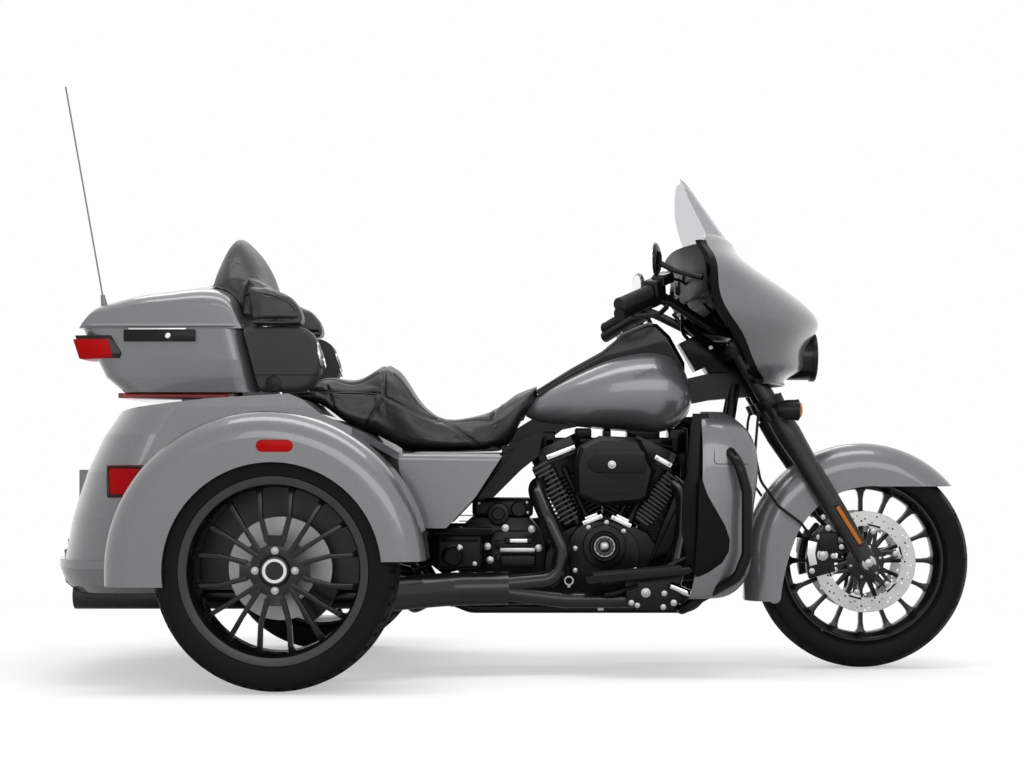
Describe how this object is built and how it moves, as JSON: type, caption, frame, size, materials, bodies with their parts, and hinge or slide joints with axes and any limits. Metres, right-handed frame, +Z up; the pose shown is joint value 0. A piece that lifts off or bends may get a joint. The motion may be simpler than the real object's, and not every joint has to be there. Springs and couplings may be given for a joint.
{
  "type": "motorized touring trike",
  "caption": "Full-size touring three-wheeler with a steered front wheel, two rear wheels under a trunk body, a fairing, a tour pack with a hinged lid and a drop-down trunk door.",
  "frame": {"origin": "on the ground, below the middle of the bounding box", "axes": "+X forward, +Y to the rider's left, +Z up"},
  "size_m": [2.6695, 1.39, 1.6994],
  "materials": {
    "paint": "metallic grey-silver clear coat",
    "black_gloss": "gloss black",
    "black_satin": "satin black",
    "frame_black": "satin black",
    "engine_black": "black with bright machined edges",
    "exhaust_black": "satin heat-proof black",
    "wheel_black": "gloss black",
    "disc_steel": "ground steel",
    "tyre": "matt rubber",
    "seat_leather": "black leather",
    "grained_vinyl": "grained black vinyl",
    "smoked_screen": "light smoke",
    "lamp_lens": "black housing with clear and amber lenses",
    "red_lens": "red lens"
  },
  "bodies": {
    "chassis": {"main_frame": "frame_black", "axle_housing": "frame_black", "crankcase": "engine_black", "front_cylinder": "engine_black", "rear_cylinder": "engine_black", "pushrod_tubes": "black_gloss", "air_cleaner": "black_satin", "gearbox": "engine_black", "primary_cover": "black_gloss", "exhaust": "exhaust_black", "fuel_tank": "paint", "tank_console": "black_gloss", "rear_body": "paint", "side_covers": "paint", "seat": "seat_leather", "tour_pack_base": "paint", "speaker_pods": "grained_vinyl", "pack_latch": "black_satin", "rear_lamps": "red_lens", "lower_fairings": "paint", "engine_guard": "black_gloss", "foot_controls": "black_satin"},
    "fork": {"triple_clamps": "black_satin", "fork_legs": "black_gloss", "handlebar": "black_satin", "mirrors": "black_satin", "front_fender": "paint", "front_calipers": "black_gloss", "brake_hoses": "black_satin", "front_lamps": "lamp_lens", "outer_fairing": "paint", "inner_fairing": "black_satin", "dash_panel": "black_satin", "windshield": "smoked_screen"},
    "front_wheel": {"front_tyre": "tyre", "front_rim": "wheel_black", "front_discs": "disc_steel"},
    "rear_wheel_right": {"rear_tyre_right": "tyre", "rear_rim_right": "wheel_black", "rear_disc_right": "disc_steel"},
    "rear_wheel_left": {"rear_tyre_left": "tyre", "rear_rim_left": "wheel_black", "rear_disc_left": "disc_steel"},
    "lid": {"pack_lid": "paint", "pack_backrest": "seat_leather", "antenna": "black_satin"},
    "trunk_door": {"trunk_door": "paint"},
    "fuel_door": {"fuel_door": "black_gloss"}
  },
  "joints": [
    {"name": "steering", "type": "hinge", "parent": "chassis", "child": "fork", "pos_m": [0.69067, 0, 0.87], "axis": [-0.4384, 0, 0.8988], "range_deg": [-34, 34]},
    {"name": "front_wheel_spin", "type": "hinge", "parent": "fork", "child": "front_wheel", "pos_m": [1.015, 0, 0.3195], "axis": [0, 1, 0], "continuous": true},
    {"name": "rear_wheel_right_spin", "type": "hinge", "parent": "chassis", "child": "rear_wheel_right", "pos_m": [-0.655, -0.56, 0.3255], "axis": [0, 1, 0], "continuous": true},
    {"name": "rear_wheel_left_spin", "type": "hinge", "parent": "chassis", "child": "rear_wheel_left", "pos_m": [-0.655, 0.56, 0.3255], "axis": [0, 1, 0], "continuous": true},
    {"name": "lid_hinge", "type": "hinge", "parent": "chassis", "child": "lid", "pos_m": [-1, 0.2945, 0.994], "axis": [-1, 0, 0], "range_deg": [0, 72]},
    {"name": "trunk_door_hinge", "type": "hinge", "parent": "chassis", "child": "trunk_door", "pos_m": [-1.312, 0, 0.358], "axis": [0, -1, 0], "range_deg": [0, 80]},
    {"name": "fuel_door_hinge", "type": "hinge", "parent": "chassis", "child": "fuel_door", "pos_m": [0.3, 0, 1], "axis": [0, -1, 0], "range_deg": [0, 75]}
  ]
}
